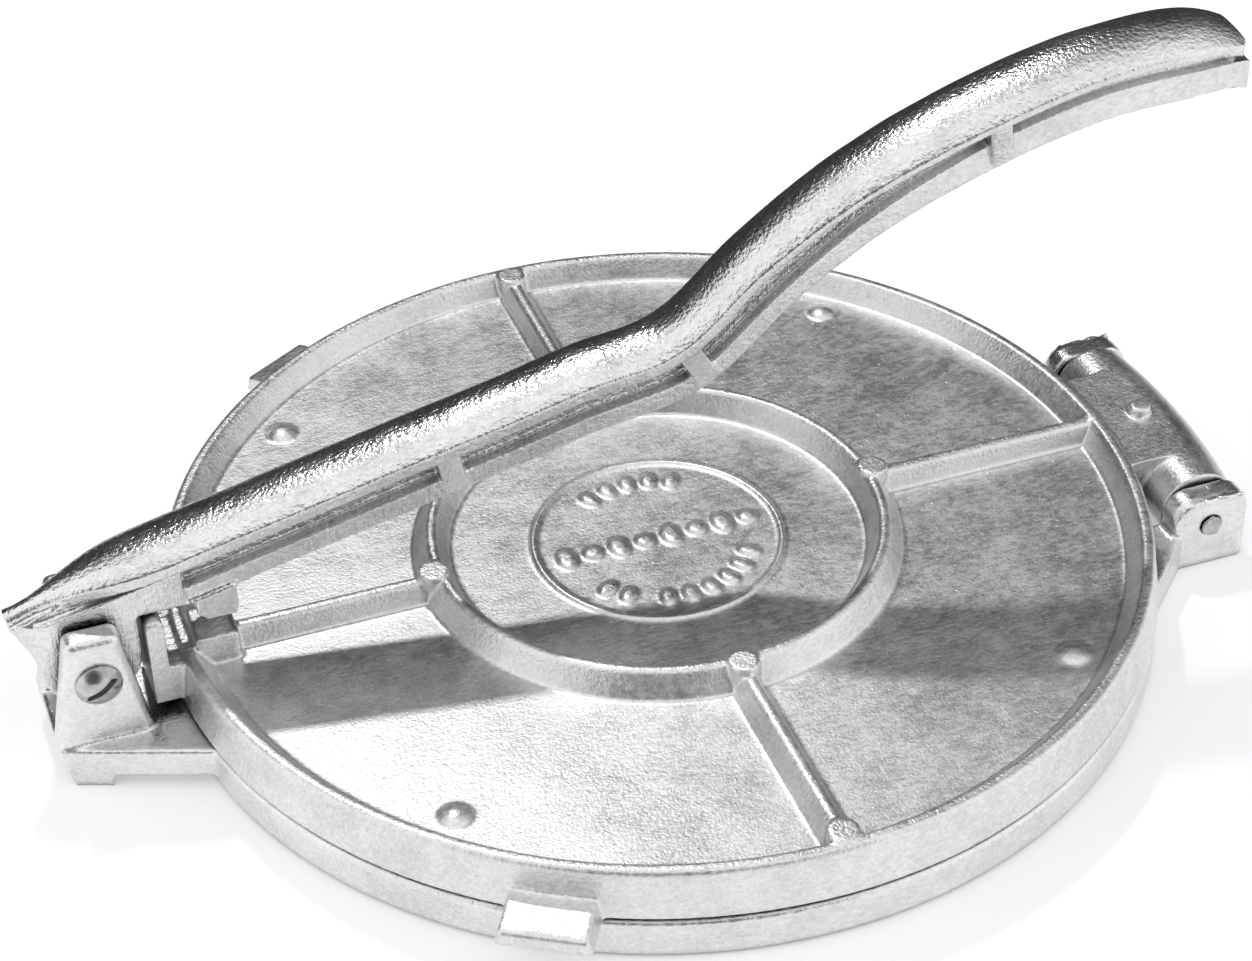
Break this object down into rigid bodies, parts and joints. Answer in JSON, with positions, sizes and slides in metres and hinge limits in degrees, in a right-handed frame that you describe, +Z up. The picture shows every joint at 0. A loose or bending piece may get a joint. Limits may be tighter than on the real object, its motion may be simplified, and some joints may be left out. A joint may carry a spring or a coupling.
{
  "type": "tortilla press",
  "caption": "Cast aluminium tortilla press: round base and hinged lid with ribs and a raised ring, pressed together by a long arched lever.",
  "frame": {"origin": "centre of the round base at table level", "axes": "+X towards the hinge and along the lever's grip, +Z up"},
  "size_m": [0.2546, 0.2028, 0.1135],
  "materials": {
    "base_casting": "tumbled cast aluminium",
    "lid_casting": "tumbled cast aluminium",
    "lever_casting": "tumbled cast aluminium",
    "fastener_steel": "satin"
  },
  "bodies": {
    "base": {"base_plate": "base_casting", "lever_screw": "fastener_steel", "lever_nut": "fastener_steel", "hinge_pin": "fastener_steel"},
    "lid": {"lid_plate": "lid_casting"},
    "lever": {"lever_handle": "lever_casting"}
  },
  "joints": [
    {"name": "lever_pivot", "type": "hinge", "parent": "base", "child": "lever", "pos_m": [-0.117, 0, 0.0232], "axis": [0, -1, 0], "range_deg": [0, 90]},
    {"name": "lid_hinge", "type": "hinge", "parent": "base", "child": "lid", "pos_m": [0.1105, 0, 0.0102], "axis": [0, 1, 0], "range_deg": [0, 5.4]}
  ],
  "couplings": [
    {"joint": "lid_hinge", "follows": "lever_pivot", "ratio": 0.06}
  ]
}
